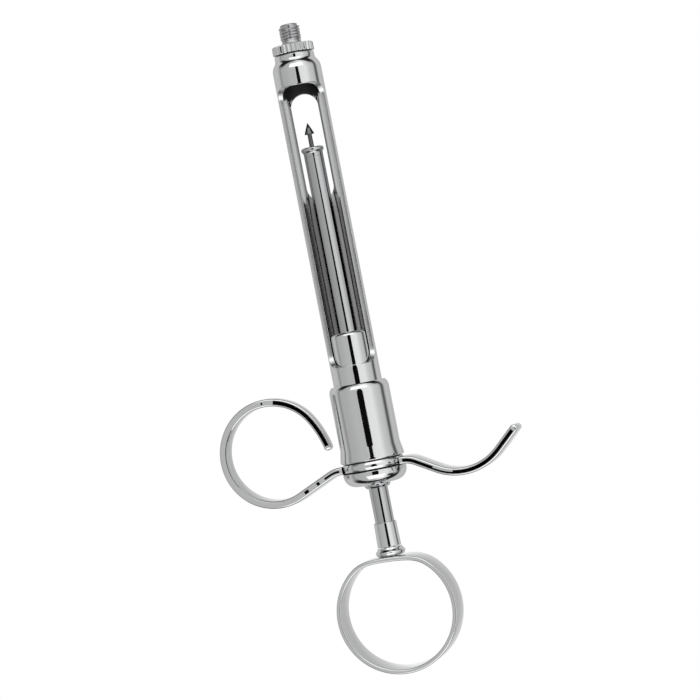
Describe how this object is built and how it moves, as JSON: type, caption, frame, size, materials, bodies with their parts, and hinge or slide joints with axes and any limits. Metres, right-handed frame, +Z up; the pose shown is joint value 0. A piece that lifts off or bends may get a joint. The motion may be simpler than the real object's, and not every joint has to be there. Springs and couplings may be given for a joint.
{
  "type": "aspirating dental syringe",
  "caption": "Side-loading cartridge syringe with harpoon piston, sprung guide bush, finger loop and hook, and swivelling thumb ring.",
  "frame": {"origin": "under the middle of the whole syringe, on the surface it lies on", "axes": "+Y along the barrel to the needle end, +X to the finger hook, +Z up, out of the plane of the finger grips"},
  "size_m": [0.072, 0.1546, 0.0152],
  "materials": {
    "polished_chrome": "mirror-polished chromium plate on brass, with hairline handling scratches",
    "ground_steel": "centreless-ground stainless steel, satin to bright",
    "harpoon_steel": "hardened dark stainless steel, fine turned",
    "spring_steel": "drawn spring wire, smooth"
  },
  "bodies": {
    "syringe_body": {"barrel": "polished_chrome", "spring_housing": "polished_chrome", "grip_hub": "polished_chrome", "finger_loop": "polished_chrome", "finger_hook": "polished_chrome", "cap_nut": "polished_chrome", "rod_gland": "ground_steel", "return_spring": "spring_steel"},
    "bush": {"guide_bush": "polished_chrome"},
    "piston": {"piston_rod": "ground_steel", "piston_tip": "ground_steel", "harpoon": "harpoon_steel"},
    "ring": {"thumb_ring": "polished_chrome", "ring_collar": "polished_chrome", "ring_ferrule": "polished_chrome", "ring_stud": "ground_steel"},
    "adaptor": {"needle_adaptor": "polished_chrome"}
  },
  "joints": [
    {"name": "bush_slide", "type": "slide", "parent": "syringe_body", "child": "bush", "axis": [0, 1, 0], "range_m": [-0.006, 0], "stiffness_N_per_m": 400, "springref_m": 0.012, "deforming": ["return_spring"]},
    {"name": "piston_slide", "type": "slide", "parent": "bush", "child": "piston", "axis": [0, 1, 0], "range_m": [-0.042, 0.008]},
    {"name": "ring_swivel", "type": "hinge", "parent": "piston", "child": "ring", "pos_m": [0.00018, -0.04196, 0.00762], "axis": [0, 1, 0], "continuous": true},
    {"name": "needle_adaptor_unscrew", "type": "slide", "parent": "syringe_body", "child": "adaptor", "axis": [0, 1, 0], "range_m": [0, 0.01]}
  ]
}
